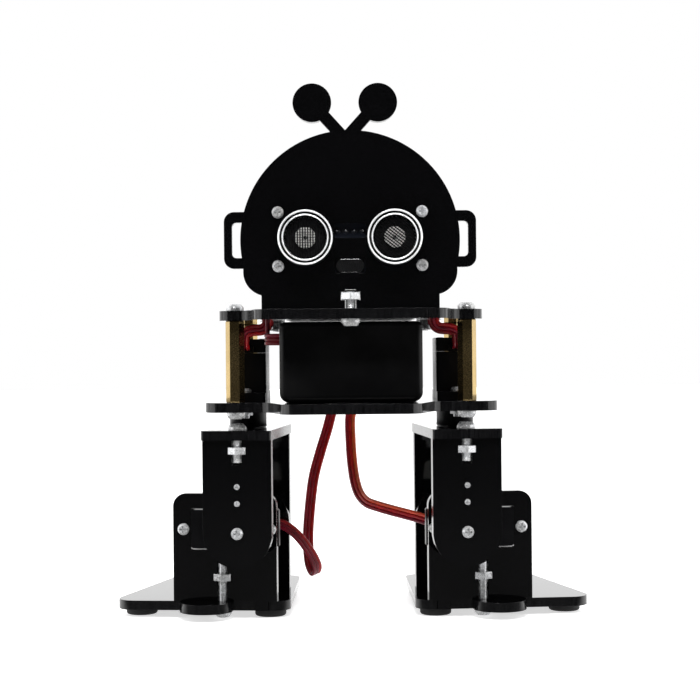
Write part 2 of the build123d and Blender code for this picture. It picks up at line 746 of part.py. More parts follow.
# both ankle leads come down through the rear slot and hang before they reach their servos
ankle_lead_right = [
    (-6.0, 48.5, BASE_TOP + 3.0), (-6.0, 48.5, 62.0), (-12.8, 30.0, 41.7), (-14.1, 18.0, 24.0),
    (-12.8, 13.5, 11.0), (-10.5, 9.0, 11.5), (-14.5, 9.0, 19.0), (-19.0, 9.0, 27.0), (-24.5, 9.0, 28.3),
]
ankle_lead_left = [
    (2.0, 48.5, BASE_TOP + 3.0), (2.0, 48.5, 62.0), (1.0, 30.0, 44.7), (3.5, 20.0, 37.0),
    (10.4, 12.0, 32.0), (17.0, 9.0, 28.3), (24.5, 9.0, 28.3),
]
with BuildPart() as ankle_leads:
    add_lead(ankle_lead_right, LEAD_R, 1.5)
    add_lead(ankle_lead_left, LEAD_R, 2.5)
keep(ankle_leads, "ankle_leads")

# ================= leg (right side, in the leg's own axes) =================

LEG_PLATE_W = 21.8
LEG_PLATE_Y = (-24.0, 22.0)
TAB_X = 7.0
TAB_W = 3.4
LEG_NUT_Z = 53.8
SHIN_SLOT_END = 49.3
shin_middles = (FRONT_SHIN_Y - SHEET / 2, REAR_SHIN_Y - SHEET / 2)
HIP_HORN_STEPS = (-11.0, 11.0)
ANKLE_HORN_STEPS = (9.2, 14.4)
ANKLE_HORN_REACH = 15.0
SMALL_R = 0.7

with BuildPart() as leg_top_plate:
    with BuildSketch(leg_level(LEG_PLATE_Z)):
        with Locations((0, sum(LEG_PLATE_Y) / 2)):
            RectangleRounded(LEG_PLATE_W, LEG_PLATE_Y[1] - LEG_PLATE_Y[0], 1.0)
        Circle(HORN_HUB_R + 0.15, mode=Mode.SUBTRACT)
        with Locations(*[(0, y) for y in shin_middles]):
            Circle(M3_HOLE_R, mode=Mode.SUBTRACT)
            with GridLocations(2 * TAB_X, 1, 2, 1):
                Rectangle(TAB_W + 2 * FIT, SHEET + 2 * FIT, mode=Mode.SUBTRACT)
        with Locations(*[(0, step) for step in HIP_HORN_STEPS]):
            Circle(SMALL_R + 0.1, mode=Mode.SUBTRACT)
    extrude(amount=SHEET)
keep_pair(leg_top_plate, "leg_top_plate")


def shin_outline():
    """Upright sheet: round about the ankle axis below, two tabs and a nut slot above."""
    with Locations((0, (ANKLE_Z + LEG_PLATE_Z) / 2)):
        Rectangle(SHIN_W, LEG_PLATE_Z - ANKLE_Z)
    with Locations((0, ANKLE_Z)):
        Circle(SHIN_W / 2)
    with Locations((-TAB_X, LEG_PLATE_Z + SHEET / 2), (TAB_X, LEG_PLATE_Z + SHEET / 2)):
        Rectangle(TAB_W, SHEET)
    tee_slot(0, LEG_PLATE_Z, LEG_NUT_Z, SHIN_SLOT_END)


with BuildPart() as front_shin:
    with BuildSketch(leg_front(FRONT_SHIN_Y)):
        shin_outline()
        with Locations((0, ANKLE_Z)):
            Circle(M2_HOLE_R, mode=Mode.SUBTRACT)
        with Locations(*[(0, ANKLE_Z + step) for step in ANKLE_HORN_STEPS]):
            Circle(SMALL_R + 0.1, mode=Mode.SUBTRACT)
    extrude(amount=SHEET)
keep_pair(front_shin, "front_shin")

with BuildPart() as rear_shin:
    with BuildSketch(leg_front(REAR_SHIN_Y)):
        shin_outline()
        with Locations((0, ANKLE_Z)):
            Circle(M3_R + RUNNING, mode=Mode.SUBTRACT)
    extrude(amount=SHEET)
keep_pair(rear_shin, "rear_shin")

hip_horn_plane = Plane(
    origin=LEG.from_local_coords(Vector(0, 0, LEG_PLATE_Z - HORN_T)), x_dir=LEG.y_dir, z_dir=(0, 0, 1)
)
ankle_horn_plane = Plane(
    origin=LEG.from_local_coords(Vector(0, FRONT_SHIN_Y, ANKLE_Z)), x_dir=(0, 0, 1), z_dir=LEG.y_dir
)
with BuildPart() as servo_horns:
    add_horn(hip_horn_plane, 12.5, 12.5, HIP_HORN_STEPS)
    add_horn(ankle_horn_plane, ANKLE_HORN_REACH, 0.5, ANKLE_HORN_STEPS)
keep_pair(servo_horns, "servo_horns")

# the ankle servo's shaft points forward, its body lies outwards
ankle_shaft_plane = Plane(
    origin=LEG.from_local_coords(Vector(0, FRONT_BRACKET_Y, ANKLE_Z)), x_dir=-LEG.x_dir, z_dir=-LEG.y_dir
)
with BuildPart() as servo_splines:
    add_spline(hip_servo_plane(-1))
    add_spline(ankle_shaft_plane)
keep_pair(servo_splines, "servo_splines")

with BuildPart() as leg_screws:
    for y in shin_middles:
        add_m3(leg_axis_plane(0, y, LEG_TOP), 10)
    for step in HIP_HORN_STEPS:
        add_screw(leg_axis_plane(0, step, LEG_TOP), 4.2, SMALL_R, 1.3, 0.9)
    for step in ANKLE_HORN_STEPS:
        seat = leg_front(FRONT_SHIN_Y - SHEET, 0, ANKLE_Z + step)
        add_screw(seat, 4.2, SMALL_R, 0.9, 0.6)
    add_m2(leg_front(FRONT_SHIN_Y - SHEET, 0, ANKLE_Z), 6.5)
    add_m2(leg_axis_plane(0, 0, LEG_PLATE_Z - HORN_T, down=True), 5.5)
keep_pair(leg_screws, "leg_screws")

with BuildPart() as leg_nuts:
    for y in shin_middles:
        add_m3_nut(leg_axis_plane(0, y, LEG_NUT_Z - M3_NUT_H / 2))
keep_pair(leg_nuts, "leg_nuts")

# ================= foot (right side, in the leg's own axes; outwards is -x) =================

FRONT_SLOT_X = -7.2
FOOT_NUT_Z = 13.0
FOOT_SLOT_END = 18.6
FRONT_TAB_X = (-15.5, 5.5)
REAR_TAB_X = (-7.0, 7.0)
FOOT_TAB_W = 4.0
pad_places = [(-35.3, 0), (7.0, -1.5), (-27.0, 43.5), (3.5, 43.5)]
TOE_X = -12.2
TOE_Y = -10.0
TOE_R = 8.5
OUTER_CORNER_R = 6.0
FOOT_CORNER_R = 5.0
BRACKET_LEFT = -22.8
BRACKET_RIGHT = 10.3
BRACKET_TOP = 39.6
WINDOW_GAP = 0.4
BRACKET_CORNER_R = 4.1
bracket_x = (BRACKET_LEFT + BRACKET_RIGHT) / 2

with BuildPart() as foot_plate:
    with BuildSketch(leg_level(PAD_H)):
        with BuildLine():
            Polyline(
                (-43.0, -9.5), (14.3, -8.5), (9.6, 50.0), (-33.0, 50.0), close=True,
            )
        make_face()
        fillet(vertices().sort_by(Axis.X)[0], radius=OUTER_CORNER_R)
        fillet(vertices().sort_by(Axis.X)[-1], radius=FOOT_CORNER_R)
        fillet(vertices().group_by(Axis.Y)[-1], radius=FOOT_CORNER_R)
        with Locations((TOE_X, TOE_Y)):
            Circle(TOE_R)
        with Locations((FRONT_SLOT_X, FRONT_BRACKET_Y - SHEET / 2), (0, REAR_BRACKET_Y - SHEET / 2)):
            Circle(M3_HOLE_R, mode=Mode.SUBTRACT)
        for tabs, y in ((FRONT_TAB_X, FRONT_BRACKET_Y), (REAR_TAB_X, REAR_BRACKET_Y)):
            with Locations(*[(x, y - SHEET / 2) for x in tabs]):
                Rectangle(FOOT_TAB_W + 2 * FIT, SHEET + 2 * FIT, mode=Mode.SUBTRACT)
        with Locations((-14.0, 33.0)):
            SlotOverall(14.0, 6.0, mode=Mode.SUBTRACT)
    extrude(amount=SHEET)
keep_pair(foot_plate, "foot_plate")

with BuildPart() as front_bracket:
    with BuildSketch(leg_front(FRONT_BRACKET_Y)):
        with Locations((bracket_x, (FOOT_TOP + BRACKET_TOP) / 2)):
            Rectangle(BRACKET_RIGHT - BRACKET_LEFT, BRACKET_TOP - FOOT_TOP)
        fillet(vertices().group_by(Axis.Y)[-1], radius=BRACKET_CORNER_R)
        with Locations(*[(x, FOOT_TOP - SHEET / 2) for x in FRONT_TAB_X]):
            Rectangle(FOOT_TAB_W, SHEET)
        with Locations((-SERVO_MIDDLE, ANKLE_Z)):
            Rectangle(SERVO_L + 2 * FIT, SERVO_W + 2 * WINDOW_GAP, mode=Mode.SUBTRACT)
            with GridLocations(SERVO_HOLE_PITCH, 1, 2, 1):
                Circle(M2_HOLE_R, mode=Mode.SUBTRACT)
        tee_slot(FRONT_SLOT_X, FOOT_TOP, FOOT_NUT_Z, FOOT_SLOT_END)
    extrude(amount=SHEET)
keep_pair(front_bracket, "front_bracket")

REAR_BRACKET_R = 11.0
with BuildPart() as rear_bracket:
    with BuildSketch(leg_front(REAR_BRACKET_Y)):
        with Locations((0, (FOOT_TOP + ANKLE_Z) / 2)):
            Rectangle(2 * REAR_BRACKET_R, ANKLE_Z - FOOT_TOP)
        with Locations((0, ANKLE_Z)):
            Circle(REAR_BRACKET_R)
        with Locations(*[(x, FOOT_TOP - SHEET / 2) for x in REAR_TAB_X]):
            Rectangle(FOOT_TAB_W, SHEET)
        with Locations((0, ANKLE_Z)):
            Circle(M3_R + THREAD_GAP, mode=Mode.SUBTRACT)
        tee_slot(0, FOOT_TOP, FOOT_NUT_Z, FOOT_SLOT_END)
    extrude(amount=SHEET)
    # countersink in the face towards the servo
    with BuildSketch(leg_front(REAR_BRACKET_Y - SHEET)):
        with Locations((0, ANKLE_Z)):
            Circle(2.9)
    extrude(amount=-1.4, taper=45, mode=Mode.SUBTRACT)
keep_pair(rear_bracket, "rear_bracket")

with BuildPart() as ankle_servo_case:
    add_servo_case(ankle_shaft_plane)
keep_pair(ankle_servo_case, "ankle_servo_case")

with BuildPart() as ankle_servo_cover:
    add_servo_cover(ankle_shaft_plane)
keep_pair(ankle_servo_cover, "ankle_servo_cover")

foot_screw_seats = [(FRONT_SLOT_X, FRONT_BRACKET_Y - SHEET / 2), (0, REAR_BRACKET_Y - SHEET / 2)]
ear_holes = [-SERVO_MIDDLE - SERVO_HOLE_PITCH / 2, -SERVO_MIDDLE + SERVO_HOLE_PITCH / 2]
PIVOT_LEN = 12.0
pivot_plane = leg_front(REAR_BRACKET_Y - SHEET, 0, ANKLE_Z)
with BuildPart() as foot_screws:
    for x, y in foot_screw_seats:
        add_m3(leg_axis_plane(x, y, PAD_H, down=True), 15)
    for x in ear_holes:
        add_m2(leg_front(FRONT_BRACKET_Y - SHEET, x, ANKLE_Z), 8)
    with BuildSketch(pivot_plane):
        Circle(M3_R)
    extrude(amount=-PIVOT_LEN)
    with BuildSketch(pivot_plane):
        Circle(2.75)
    extrude(amount=-1.3, taper=45)
    with BuildSketch(pivot_plane):
        Rectangle(3.0, 0.8)
        Rectangle(0.8, 3.0)
    extrude(amount=-0.7, mode=Mode.SUBTRACT)
keep_pair(foot_screws, "foot_screws")

LOCK_NUT_H = 4.0
with BuildPart() as foot_nuts:
    for x, y in foot_screw_seats:
        add_m3_nut(leg_axis_plane(x, y, FOOT_NUT_Z - M3_NUT_H / 2))
    for x in ear_holes:
        back = leg_front(FRONT_BRACKET_Y + SERVO_EAR_T + M2_NUT_H, x, ANKLE_Z)
        add_m2_nut(back)
    lock_face = leg_front(REAR_SHIN_Y + 0.2 + LOCK_NUT_H, 0, ANKLE_Z)
    add_nut(lock_face, M3_NUT_AF, LOCK_NUT_H, M3_R + THREAD_GAP)
keep_pair(foot_nuts, "foot_nuts")

with BuildPart() as foot_pads:
    with BuildSketch(leg_level(0)):
        with Locations(*pad_places):
            Circle(PAD_R)
    extrude(amount=PAD_H)
    fillet(faces().sort_by(Axis.Z)[:4].edges(), radius=0.8)
keep_pair(foot_pads, "foot_pads")

# ================= left side: the mirror image of the right =================

for name, right_part in right_side.items():
    with BuildPart() as left_piece:
        mirror(right_part, about=Plane.YZ)
    keep(left_piece, f"left_{name}")
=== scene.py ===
import json
import math

import bmesh
import bpy
from mathutils import Matrix, Vector


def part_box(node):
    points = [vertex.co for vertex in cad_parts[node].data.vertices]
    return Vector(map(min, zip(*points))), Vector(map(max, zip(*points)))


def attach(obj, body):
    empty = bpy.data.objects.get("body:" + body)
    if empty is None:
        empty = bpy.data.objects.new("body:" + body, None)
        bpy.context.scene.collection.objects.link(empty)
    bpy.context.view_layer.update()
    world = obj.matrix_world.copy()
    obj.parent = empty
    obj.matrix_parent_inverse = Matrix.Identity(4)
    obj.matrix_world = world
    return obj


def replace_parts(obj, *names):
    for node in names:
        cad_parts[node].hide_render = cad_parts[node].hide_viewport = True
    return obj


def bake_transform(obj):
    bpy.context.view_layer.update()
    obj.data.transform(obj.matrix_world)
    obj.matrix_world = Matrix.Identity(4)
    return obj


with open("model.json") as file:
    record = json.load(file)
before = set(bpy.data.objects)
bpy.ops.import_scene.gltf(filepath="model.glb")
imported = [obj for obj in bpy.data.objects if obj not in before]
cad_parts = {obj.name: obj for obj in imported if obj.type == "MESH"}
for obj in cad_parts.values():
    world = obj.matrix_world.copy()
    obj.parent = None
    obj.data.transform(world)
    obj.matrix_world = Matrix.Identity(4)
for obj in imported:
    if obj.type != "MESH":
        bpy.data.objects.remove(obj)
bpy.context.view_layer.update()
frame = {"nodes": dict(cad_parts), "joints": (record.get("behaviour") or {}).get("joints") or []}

MM = 0.001
nodes = frame["nodes"]
joints = {joint["name"]: joint for joint in frame["joints"]}
SIDES = ("right", "left")


def mm(x, y, z):
    return Vector((x, y, z)) * MM


def mm_points(*points):
    return [mm(*point) for point in points]


# ---------------------------------------------------------------- places read from the frame

def corners(node):
    low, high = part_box(node)
    return Vector(low), Vector(high)


def middle(node):
    low, high = corners(node)
    return (low + high) / 2


can_low, can_high = corners("sonar_cans")
EYE_R = (can_high.z - can_low.z) / 2
EYE_X = can_high.x - EYE_R
EYE_Z = (can_high.z + can_low.z) / 2
sonar_low, sonar_high = corners("sonar_board")
BOARD_TOP = corners("control_board")[1].z
CHIP_H = 1.0
MODULE_TOP = corners("controller_module")[1].z - CHIP_H * MM
DECK_TOP = corners("top_plate")[1].z
BASE_TOP = corners("bottom_plate")[1].z
PIN_PITCH = 2.54
RIGHT, FRONT, BACK = Vector((1, 0, 0)), Vector((0, -1, 0)), Vector((0, 1, 0))
UP, DOWN = Vector((0, 0, 1)), Vector((0, 0, -1))


def leg_axes(side):
    """Sideways and front-to-back directions of a toed-out leg, and its hip axis on the ground."""
    axis = Vector(joints[f"{side}_ankle"]["axis"])
    back = axis if axis.y > 0 else -axis
    across = back.cross(UP)
    hip = Vector(joints[f"{side}_hip"]["pos_m"])
    return across, back, Vector((hip.x, hip.y, 0))


def leg_point(side, outward, back_mm, height):
    """A point of the leg in millimetres: outward from the hip axis, towards the back, up."""
    across, back, hip = leg_axes(side)
    out = across if across.x * hip.x > 0 else -across
    return hip + out * outward * MM + back * back_mm * MM + Vector((0, 0, height * MM))


# ---------------------------------------------------------------- materials

SHEET_BLACK = (0.0012, 0.0012, 0.0014)
DUST_GREY = (0.008, 0.008, 0.009)
EDGE_GREY = (0.005, 0.005, 0.0055)
ARRIS_R = 0.1 * MM
# texture features per metre
SMEARS = 90
DUST = 2600
LASER_LINES = 2800
SCRATCHES = 160


class Look:
    """One procedural material while it is put together."""

    def __init__(self, name, color, roughness, **more):
        self.material = bpy.data.materials.new(name)
        self.material.use_nodes = True
        self.tree = self.material.node_tree
        self.shader = self.tree.nodes["Principled BSDF"]
        self.shader.inputs["Base Color"].default_value = (*color, 1)
        self.shader.inputs["Roughness"].default_value = roughness
        for key, value in more.items():
            self.shader.inputs[key.replace("_", " ")].default_value = value
        self.where = self.tree.nodes.new("ShaderNodeTexCoord")

    def add(self, kind, inputs=None, **settings):
        node = self.tree.nodes.new(kind)
        for key, value in settings.items():
            setattr(node, key, value)
        for key, value in (inputs or {}).items():
            if isinstance(value, bpy.types.NodeSocket):
                self.tree.links.new(value, node.inputs[key])
            else:
                node.inputs[key].default_value = value
        return node

    def feed(self, name, output):
        self.tree.links.new(output, self.shader.inputs[name])

    def noise(self, scale, detail=3.0, stretch=(1, 1, 1), roughness=0.5):
        """Noise in object space; scale is features per metre, stretch squeezes each axis."""
        place = self.add("ShaderNodeMapping", {"Vector": self.where.outputs["Object"], "Scale": stretch})
        texture = self.add(
            "ShaderNodeTexNoise",
            {"Vector": place.outputs["Vector"], "Scale": scale, "Detail": detail,
             "Roughness": roughness},
        )
        return texture.outputs["Fac"]

    def ramp(self, value, low, high, out_low=0.0, out_high=1.0):
        node = self.add(
            "ShaderNodeMapRange",
            {"Value": value, "From Min": low, "From Max": high, "To Min": out_low, "To Max": out_high},
        )
        return node.outputs["Result"]

    def mix(self, factor, first, second):
        node = self.add("ShaderNodeMix", {"Factor": factor}, data_type="RGBA")
        for socket, color in ((node.inputs[6], first), (node.inputs[7], second)):
            if isinstance(color, bpy.types.NodeSocket):
                self.tree.links.new(color, socket)
            else:
                socket.default_value = (*color, 1)
        return node.outputs[2]

    def mix_value(self, factor, first, second):
        node = self.add("ShaderNodeMix", {"Factor": factor})
        for socket, value in ((node.inputs[2], first), (node.inputs[3], second)):
            if isinstance(value, bpy.types.NodeSocket):
                self.tree.links.new(value, socket)
            else:
                socket.default_value = value
        return node.outputs[0]

    def bump(self, height, strength, distance, normal=None):
        inputs = {"Height": height, "Strength": strength, "Distance": distance}
        if normal:
            inputs["Normal"] = normal
        node = self.add("ShaderNodeBump", inputs)
        self.feed("Normal", node.outputs["Normal"])


def shade(color, share):
    return tuple(part * share for part in color)


def acrylic(name, axis):
    """Polished black sheet: dust and hair scratches on the faces, laser lines down the cut edges."""
    look = Look(name, SHEET_BLACK, 0.06, IOR=1.49)
    facing = look.add("ShaderNodeVectorMath", operation="DOT_PRODUCT")
    look.tree.links.new(look.where.outputs["Normal"], facing.inputs[0])
    facing.inputs[1].default_value = axis
    size = look.add("ShaderNodeMath", {0: facing.outputs["Value"]}, operation="ABSOLUTE")
    edge = look.ramp(size.outputs[0], 0.85, 0.6)
    smear = look.noise(SMEARS, 4.0)
    dust = look.ramp(look.noise(DUST, 2.0), 0.7, 0.78)
    dusty = look.ramp(smear, 0.4, 0.62)
    dust_here = look.add("ShaderNodeMath", {0: dust, 1: dusty}, operation="MULTIPLY")
    along = [0.06 if abs(part) > 0.7 else 1.0 for part in axis]
    lines = look.noise(LASER_LINES, 2.0, along)
    face_color = look.mix(dust_here.outputs[0], SHEET_BLACK, DUST_GREY)
    edge_color = look.mix(look.ramp(lines, 0.35, 0.7), SHEET_BLACK, EDGE_GREY)
    look.feed("Base Color", look.mix(edge, face_color, edge_color))
    face_rough = look.ramp(smear, 0.3, 0.7, 0.04, 0.1)
    look.feed("Roughness", look.mix_value(edge, face_rough, look.ramp(lines, 0.3, 0.7, 0.08, 0.2)))
    scratches = look.noise(SCRATCHES, 2.0, (0.5, 6.0, 14.0))
    height = look.mix_value(edge, scratches, lines)
    strength = look.ramp(edge, 0, 1, 0.01, 0.1)
    arris = look.add("ShaderNodeBevel", {"Radius": ARRIS_R}, samples=4)
    look.bump(height, strength, 0.00012, arris.outputs["Normal"])
    return look.material


def metal(name, color, roughness, grain=(1, 1, 1), tarnish=None, bump=0.05, scale=900, metallic=1.0):
    """Machined or rolled metal with directional grain and a faint change of colour."""
    look = Look(name, color, roughness, Metallic=metallic)
    broad = look.noise(140, 3.0)
    fine = look.noise(scale, 3.0, grain)
    dark = tarnish or shade(color, 0.7)
    look.feed("Base Color", look.mix(look.ramp(broad, 0.35, 0.7), color, dark))
    look.feed("Roughness", look.ramp(fine, 0.3, 0.7, roughness * 0.7, min(1, roughness * 1.5)))
    look.bump(fine, bump, 0.00008)
    return look.material


def plastic(name, color, roughness, spark=1400, bump=0.12, worn=None, shine=0.5):
    """Moulded plastic or rubber with a spark-eroded grain and uneven sheen."""
    look = Look(name, color, roughness, Specular_IOR_Level=shine)
    grain = look.noise(spark, 4.0)
    broad = look.noise(70, 3.0)
    worn = worn or tuple(min(1, part * 1.7 + 0.001) for part in color)
    look.feed("Base Color", look.mix(look.ramp(broad, 0.42, 0.75), color, worn))
    look.feed("Roughness", look.ramp(broad, 0.3, 0.7, roughness * 0.85, min(1, roughness * 1.2)))
    look.bump(grain, bump, 0.0001)
    return look.material


def circuit(name, mask, trace):
    """Solder mask with copper tracks showing through as slightly raised lines."""
    look = Look(name, mask, 0.28, Coat_Weight=0.5, Coat_Roughness=0.15)
    tracks = look.add(
        "ShaderNodeTexBrick",
        {"Vector": look.where.outputs["Object"], "Scale": 190.0, "Mortar Size": 0.05,
         "Mortar Smooth": 0.2},
    )
    lines = tracks.outputs["Fac"]
    look.feed("Base Color", look.mix(lines, mask, trace))
    look.bump(lines, 0.25, 0.00005)
    return look.material


def printed(name, color, roughness, metallic=0.0, bump=0.1):
    """Small electronic parts: ceramic, epoxy and tinned metal."""
    look = Look(name, color, roughness, Metallic=metallic)
    grain = look.noise(2400, 3.0)
    look.feed("Base Color", look.mix(look.ramp(grain, 0.4, 0.7), color, shade(color, 0.8)))
    look.bump(grain, bump, 0.00004)
    return look.material


def insulation(name, color):
    """Soft PVC insulation: waxy, with faint handling marks along its length."""
    look = Look(name, color, 0.38, Coat_Weight=0.15, Coat_Roughness=0.3)
    look.shader.inputs["Subsurface Weight"].default_value = 0.05
    broad = look.noise(220, 4.0)
    look.feed("Base Color", look.mix(look.ramp(broad, 0.35, 0.7), color, shade(color, 0.55)))
    look.feed("Roughness", look.ramp(broad, 0.3, 0.7, 0.3, 0.5))
    look.bump(look.noise(1600, 2.0), 0.08, 0.00005)
    return look.material


level_sheet = acrylic("black sheet, level", (0, 0, 1))
head_sheet = acrylic("black sheet, head", (0, 1, 0))
leg_sheets = {side: acrylic(f"black sheet, {side} leg", tuple(leg_axes(side)[1])) for side in SIDES}
brass = metal("turned brass", (0.55, 0.40, 0.18), 0.22, (1, 1, 9), (0.46, 0.33, 0.14), 0.05, 1800)
zinc = metal("zinc plated steel", (0.72, 0.73, 0.75), 0.24, tarnish=(0.45, 0.45, 0.44), bump=0.03,
             metallic=0.55)
aluminium = metal("drawn aluminium", (0.93, 0.94, 0.95), 0.3, (1, 9, 1), bump=0.05, metallic=0.35)
# Dark copy of the can aluminium for the barrel behind the front: painted shade.
barrel_painted_shade = metal("aluminium barrel, painted shade", (0.16, 0.16, 0.17), 0.38, (1, 9, 1), bump=0.05)
dark_mesh = metal("blackened mesh", (0.012, 0.012, 0.013), 0.5)
nickel = metal("nickel strip", (0.68, 0.66, 0.62), 0.3, (1, 1, 5))
chrome = metal("bright can", (0.3, 0.3, 0.31), 0.14, (6, 1, 1), bump=0.03)
servo_plastic = plastic("servo case", (0.002, 0.002, 0.0025), 0.3, shine=0.2)
case_plastic = plastic("battery box", (0.0015, 0.0015, 0.0017), 0.36, 1100, 0.12, shine=0.16)
rubber = plastic("rubber pad", (0.008, 0.008, 0.008), 0.75, 900, 0.35)
black_nylon = plastic("black nylon", (0.008, 0.008, 0.009), 0.45)
horn_plastic = plastic("white nylon", (0.72, 0.71, 0.66), 0.42, worn=(0.6, 0.58, 0.5))
button_plastic = plastic("button plastic", (0.55, 0.54, 0.5), 0.4)
cell_sleeve = plastic("cell sleeve", (0.02, 0.09, 0.2), 0.22, 700, 0.04)
sonar_mask = circuit("sonar solder mask", (0.001, 0.002, 0.006), (0.002, 0.004, 0.010))
board_mask = circuit("board solder mask", (0.004, 0.004, 0.006), (0.011, 0.011, 0.014))
module_mask = circuit("module solder mask", (0.003, 0.02, 0.09), (0.006, 0.035, 0.13))
gold = metal("gold plated pin", (0.8, 0.6, 0.25), 0.2)
solder = printed("solder", (0.7, 0.7, 0.72), 0.25, 1.0)
chip_body = printed("chip epoxy", (0.012, 0.012, 0.013), 0.5)
ceramic = printed("ceramic part", (0.45, 0.33, 0.2), 0.45)
lamp = printed("lamp lens", (0.5, 0.05, 0.03), 0.2)
can_sleeve = printed("capacitor sleeve", (0.01, 0.012, 0.02), 0.3)
# Pale colour on the transducer cone: painted reflection.
cone_painted_reflection = printed("transducer cone, painted reflection", (0.7, 0.7, 0.68), 0.5)
# Black for the linings inside the sonar cans: painted shade in the cans' hollows.
lining_painted_shade = plastic("recess lining, painted shade", (0.0015, 0.0015, 0.0015), 0.8)
core_crimson = insulation("crimson core", (0.17, 0.004, 0.017))
core_red = insulation("red core", (0.38, 0.006, 0.010))
core_orange = insulation("orange core", (0.72, 0.070, 0.032))
core_black = insulation("black core", (0.006, 0.006, 0.007))
core_power = insulation("dark crimson core", (0.15, 0.003, 0.008))


# ---------------------------------------------------------------- CAD nodes: finish and softened edges

def node_material(name):
    if name in ("top_plate", "bottom_plate") or name.endswith(("leg_top_plate", "foot_plate")):
        return level_sheet
    if name == "head_plate":
        return head_sheet
    if name.endswith(("shin", "bracket")):
        return leg_sheets[name.split("_")[0]]
    rules = (
        ("board_standoffs", black_nylon), ("standoffs", brass), ("screws", zinc), ("nuts", zinc),
        ("sonar_cans", aluminium), ("sonar_meshes", dark_mesh), ("sonar_crystal", chrome),
        ("sonar_board", sonar_mask), ("control_board", board_mask), ("controller_module", module_mask),
        ("servo_c", servo_plastic), ("servo_horns", horn_plastic), ("servo_splines", servo_plastic),
        ("foot_pads", rubber), ("battery_case", case_plastic), ("battery_lid", case_plastic),
        ("battery_cells", cell_sleeve), ("battery_contacts", nickel), ("pin_headers", black_nylon),
        ("usb_socket", nickel), ("switch_housing", nickel), ("switch_knob", black_nylon),
        ("reset_button", button_plastic), ("lead", core_red),
    )
    for word, material in rules:
        if word in name:
            return material
    raise ValueError(name)


SHEETS = ("plate", "shin", "bracket")
BEVELS = {"standoffs": 0.25, "screws": 0.12, "nuts": 0.2,
          "servo_case": 0.3, "servo_cover": 0.25, "pads": 0.15, "battery": 0.3}
OTHER_BEVEL = 0.1
WELD_GAP = 0.002 * MM
SOFT_ANGLE = math.radians(38)
SHARP_ANGLE = math.radians(35)
for name, obj in nodes.items():
    obj.data.materials.clear()
    obj.data.materials.append(node_material(name))
    if name.endswith(SHEETS):
        continue
    width = next((size for word, size in BEVELS.items() if word in name), OTHER_BEVEL)
    weld = obj.modifiers.new("weld", "WELD")
    weld.merge_threshold = WELD_GAP
    soft = obj.modifiers.new("soft edges", "BEVEL")
    soft.width = width * MM
    soft.segments = 2
    soft.limit_method = "ANGLE"
    soft.angle_limit = SOFT_ANGLE
    soft.harden_normals = False


# ---------------------------------------------------------------- mesh building

def new_piece(name, mesh_data, body, materials):
    obj = bpy.data.objects.new(name, mesh_data)
    bpy.context.scene.collection.objects.link(obj)
    for material in materials:
        mesh_data.materials.append(material)
    if body:
        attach(obj, body)
    return obj


def from_bmesh(name, bm, body, materials, bevel=0.0, smooth=True):
    bmesh.ops.recalc_face_normals(bm, faces=bm.faces)
    data = bpy.data.meshes.new(name)
    bm.to_mesh(data)
    bm.free()
    for face in data.polygons:
        face.use_smooth = smooth
    if smooth:
        data.set_sharp_from_angle(angle=SHARP_ANGLE)
    obj = new_piece(name, data, body, materials)
    if bevel:
        soft = obj.modifiers.new("soft edges", "BEVEL")
        soft.width = bevel * MM
        soft.segments = 2
        soft.limit_method = "ANGLE"
    return obj


def add_block(bm, centre, size, material=0):
    """A box in the mesh; centre and size in metres."""
    matrix = Matrix.Translation(centre) @ Matrix.Diagonal((*size, 1))
    made = bmesh.ops.create_cube(bm, size=1, matrix=matrix)
    for face in {face for vert in made["verts"] for face in vert.link_faces}:
        face.material_index = material


def join_rings(bm, rings, material=0):
    """Side faces between each ring of vertices and the next."""
    for low, high in zip(rings, rings[1:]):
        for step in range(len(low)):
            after = (step + 1) % len(low)
            face = bm.faces.new((low[step], low[after], high[after], high[step]))
            face.material_index = material


def cap_rings(bm, rings, material=0):
    """End faces on the first and last ring."""
    for ring in (rings[0], rings[-1]):
        face = bm.faces.new(ring)
        face.material_index = material


def add_lathe(bm, profile, origin, axis, steps=48, closed=True):
    """Turns a profile of (radius, height) points in millimetres round an axis."""
    rotation = UP.rotation_difference(axis).to_matrix().to_4x4()
    place = Matrix.Translation(origin) @ rotation
    rings = []
    for radius, height in profile:
        ring = []
        for step in range(steps):
            angle = 2 * math.pi * step / steps
            point = Vector((radius * math.cos(angle), radius * math.sin(angle), height)) * MM
            ring.append(bm.verts.new(place @ point))
        rings.append(ring)
    if closed:
        join_rings(bm, [*rings, rings[0]])
    else:
        join_rings(bm, rings)
        cap_rings(bm, rings)


def smooth_path(points, steps=10):
    """Catmull-Rom curve through points given in metres."""
    ends = [points[0] * 2 - points[1], *points, points[-1] * 2 - points[-2]]
    path = []
    for index in range(1, len(ends) - 2):
        a, b, c, d = ends[index - 1:index + 3]
        for step in range(steps):
            t = step / steps
            path.append(0.5 * (2 * b + (c - a) * t + (2 * a - 5 * b + 4 * c - d) * t * t
                               + (3 * b - a - 3 * c + d) * t ** 3))
    path.append(points[-1])
    return path


def carried_frames(path, side):
    """A sideways direction at each point of the path, carried along without twisting."""
    sides = []
    for index, point in enumerate(path):
        before = path[max(index - 1, 0)]
        after = path[min(index + 1, len(path) - 1)]
        ahead = (after - before).normalized()
        side = (side - ahead * side.dot(ahead)).normalized()
        sides.append((side.copy(), ahead.cross(side).normalized()))
    return sides


def facing_frames(path):
    """A sideways direction at each point that keeps a flat cable's broad side to the front."""
    sides = []
    for index in range(len(path)):
        ahead = (path[min(index + 1, len(path) - 1)] - path[max(index - 1, 0)]).normalized()
        side = ahead.cross(BACK).normalized()
        sides.append((side, ahead.cross(side).normalized()))
    return sides


